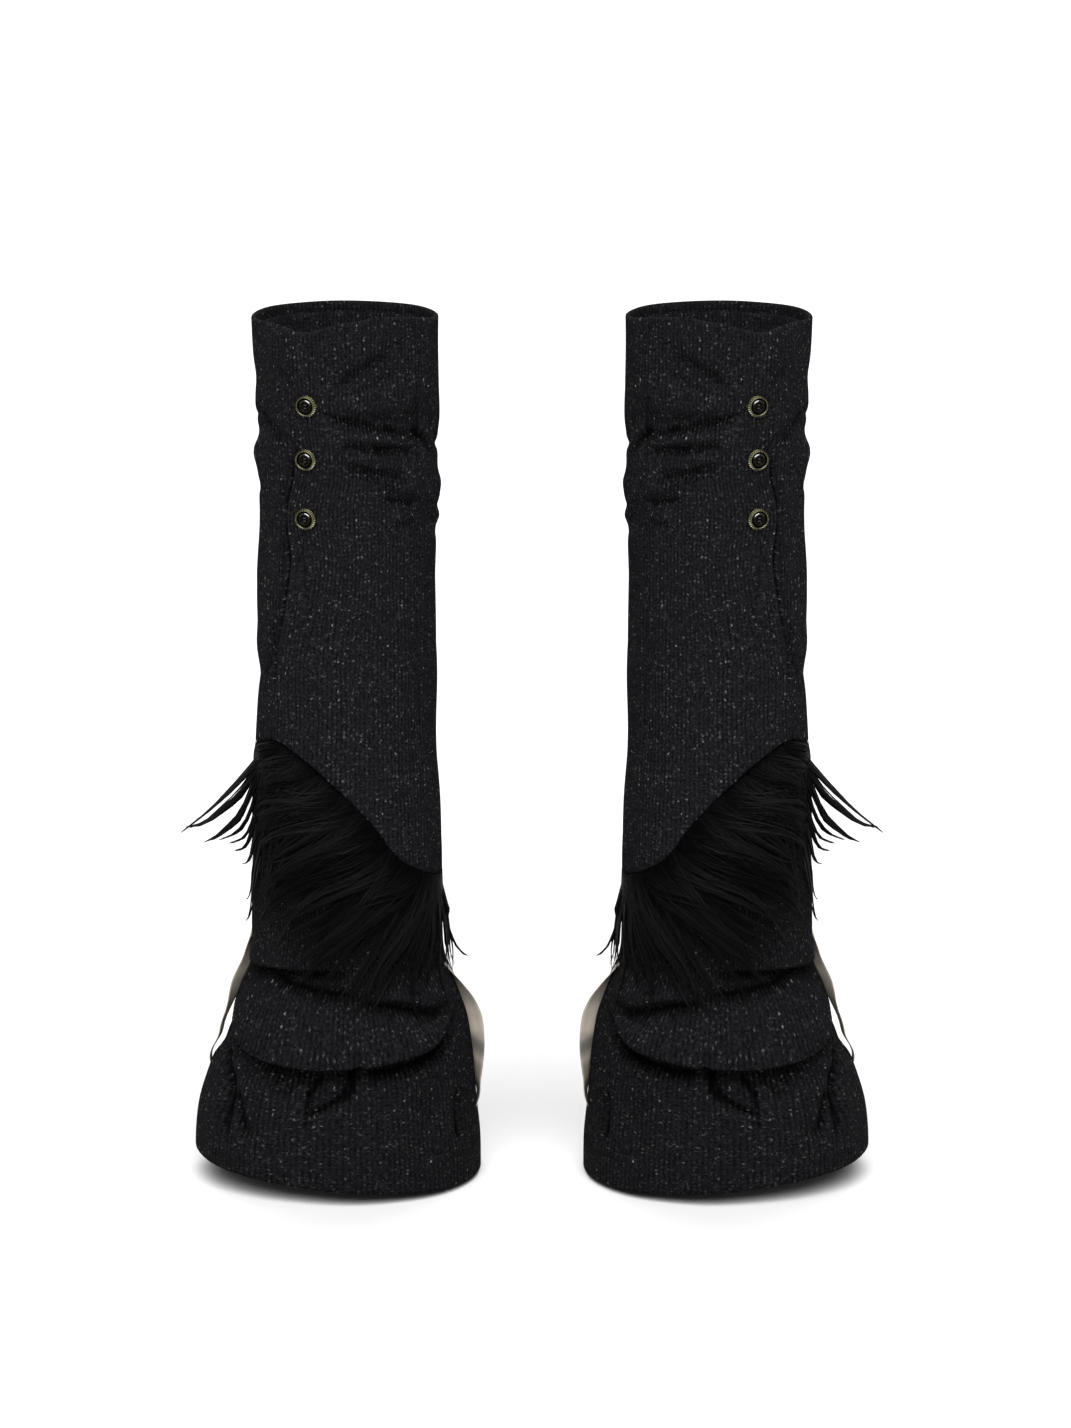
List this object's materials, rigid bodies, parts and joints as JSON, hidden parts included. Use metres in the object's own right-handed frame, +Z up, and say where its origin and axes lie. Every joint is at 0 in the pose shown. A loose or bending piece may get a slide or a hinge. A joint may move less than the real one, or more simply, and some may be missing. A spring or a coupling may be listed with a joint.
{
  "type": "pair of leg warmers",
  "caption": "Pair of rib-knit leg warmers with a buttoned wrap over the calf, a long hair trim along its slanted edge, and a flared, slouched lower tier with satin tapes.",
  "frame": {"origin": "midway between the two legs, at the height of the wearer's calves", "axes": "+X to the viewer's right with the buttoned fronts facing the viewer, +Y away from the viewer, +Z up along the legs"},
  "size_m": [0.39, 0.1312, 0.4982],
  "materials": {
    "knit": "matte rib knit with pale flecks",
    "hair": "long glossy hair",
    "brass": "satin antique",
    "black": "polished",
    "satin": "satin"
  },
  "bodies": {
    "root": {"left_tube_front": "knit", "left_tube_back": "knit", "left_wrap_front": "knit", "left_wrap_back": "knit", "left_fur_front": "hair", "left_fur_back": "hair", "left_button_1_rim": "brass", "left_button_1_centre": "black", "left_button_2_rim": "brass", "left_button_2_centre": "black", "left_button_3_rim": "brass", "left_button_3_centre": "black", "left_tape_outer": "satin", "left_tape_inner": "satin", "right_tube_front": "knit", "right_tube_back": "knit", "right_wrap_front": "knit", "right_wrap_back": "knit", "right_fur_front": "hair", "right_fur_back": "hair", "right_button_1_rim": "brass", "right_button_1_centre": "black", "right_button_2_rim": "brass", "right_button_2_centre": "black", "right_button_3_rim": "brass", "right_button_3_centre": "black", "right_tape_outer": "satin", "right_tape_inner": "satin"}
  },
  "joints": []
}
